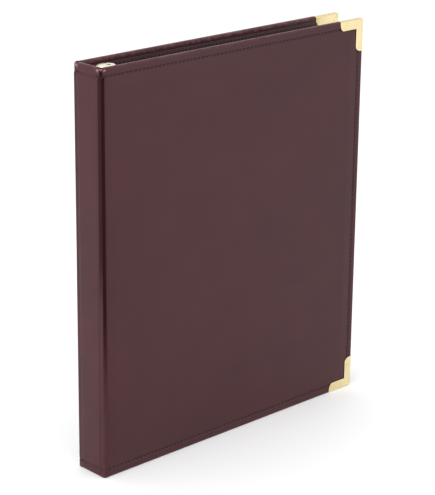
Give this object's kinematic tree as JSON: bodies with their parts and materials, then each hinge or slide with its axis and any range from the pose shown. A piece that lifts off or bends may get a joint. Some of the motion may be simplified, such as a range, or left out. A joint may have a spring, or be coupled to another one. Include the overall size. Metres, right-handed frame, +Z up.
{
  "type": "coin album",
  "caption": "Padded, stitched leather-look coin album with brass corners, soft hinges, a ring mechanism with end levers, and clear coin pages.",
  "frame": {"origin": "centre of the closed album's bounding box at its base, on the surface it stands on", "axes": "+Z up along the spine, +X from the spine to the opening edge, -Y the front cover's outer face"},
  "size_m": [0.256, 0.0296, 0.298],
  "materials": {
    "leather": "satin",
    "thread": "matte",
    "board": "matte",
    "padding": "matte",
    "lining": "matte",
    "brass": "polished",
    "plated_steel": "gloss",
    "clear_vinyl": "gloss"
  },
  "bodies": {
    "spine": {"spine_skin": "leather", "spine_board": "board", "spine_lining": "lining", "front_hinge": "leather", "back_hinge": "leather", "spine_stitching_top": "thread", "spine_stitching_bottom": "thread", "ring_channel": "plated_steel", "channel_rivet_top": "plated_steel", "channel_rivet_bottom": "plated_steel", "lever_pin_top": "plated_steel", "lever_pin_bottom": "plated_steel"},
    "front_cover": {"front_cover_skin": "leather", "front_cover_foam": "padding", "front_cover_board": "board", "front_cover_lining": "lining", "front_cover_stitching": "thread", "front_cover_corner_top": "brass", "front_cover_corner_bottom": "brass"},
    "back_cover": {"back_cover_skin": "leather", "back_cover_foam": "padding", "back_cover_board": "board", "back_cover_lining": "lining", "back_cover_stitching": "thread", "back_cover_corner_top": "brass", "back_cover_corner_bottom": "brass"},
    "front_leaf": {"front_leaf_plate": "plated_steel", "front_half_ring_top": "plated_steel", "front_half_ring_middle": "plated_steel", "front_half_ring_bottom": "plated_steel"},
    "back_leaf": {"back_leaf_plate": "plated_steel", "back_half_ring_top": "plated_steel", "back_half_ring_middle": "plated_steel", "back_half_ring_bottom": "plated_steel"},
    "top_lever": {"ring_lever_top": "brass"},
    "bottom_lever": {"ring_lever_bottom": "brass"},
    "page_1": {"coin_page_1": "clear_vinyl"},
    "page_2": {"coin_page_2": "clear_vinyl"},
    "page_3": {"coin_page_3": "clear_vinyl"},
    "page_4": {"coin_page_4": "clear_vinyl"}
  },
  "joints": [
    {"name": "front_cover_open", "type": "hinge", "parent": "spine", "child": "front_cover", "pos_m": [-0.1271, -0.0136, 0.149], "axis": [0, 0, -1], "range_deg": [0, 180]},
    {"name": "back_cover_open", "type": "hinge", "parent": "spine", "child": "back_cover", "pos_m": [-0.1271, 0.0136, 0.149], "axis": [0, 0, 1], "range_deg": [0, 180]},
    {"name": "rings_open", "type": "hinge", "parent": "spine", "child": "front_leaf", "pos_m": [-0.1231, -0.008, 0.149], "axis": [0, 0, -1], "range_deg": [0, 11]},
    {"name": "back_rings_open", "type": "hinge", "parent": "spine", "child": "back_leaf", "pos_m": [-0.1231, 0.008, 0.149], "axis": [0, 0, 1], "range_deg": [0, 11]},
    {"name": "top_lever_press", "type": "hinge", "parent": "spine", "child": "top_lever", "pos_m": [-0.12215, 0, 0.285], "axis": [0, -1, 0], "range_deg": [0, 7]},
    {"name": "bottom_lever_press", "type": "hinge", "parent": "spine", "child": "bottom_lever", "pos_m": [-0.12215, 0, 0.013], "axis": [0, 1, 0], "range_deg": [0, 7]},
    {"name": "page_1_turn", "type": "hinge", "parent": "spine", "child": "page_1", "pos_m": [-0.11615, 0, 0.149], "axis": [0, 0, -1], "range_deg": [0, 81]},
    {"name": "page_2_turn", "type": "hinge", "parent": "spine", "child": "page_2", "pos_m": [-0.11615, 0, 0.149], "axis": [0, 0, -1], "range_deg": [0, 54]},
    {"name": "page_3_turn", "type": "hinge", "parent": "spine", "child": "page_3", "pos_m": [-0.11615, 0, 0.149], "axis": [0, 0, 1], "range_deg": [0, 54]},
    {"name": "page_4_turn", "type": "hinge", "parent": "spine", "child": "page_4", "pos_m": [-0.11615, 0, 0.149], "axis": [0, 0, 1], "range_deg": [0, 81]}
  ],
  "couplings": [
    {"joint": "back_rings_open", "follows": "rings_open", "ratio": 1},
    {"joint": "top_lever_press", "follows": "rings_open", "ratio": 0.636},
    {"joint": "bottom_lever_press", "follows": "rings_open", "ratio": 0.636},
    {"joint": "page_1_turn", "follows": "front_cover_open", "ratio": 0.45},
    {"joint": "page_2_turn", "follows": "front_cover_open", "ratio": 0.3},
    {"joint": "page_3_turn", "follows": "back_cover_open", "ratio": 0.3},
    {"joint": "page_4_turn", "follows": "back_cover_open", "ratio": 0.45}
  ]
}
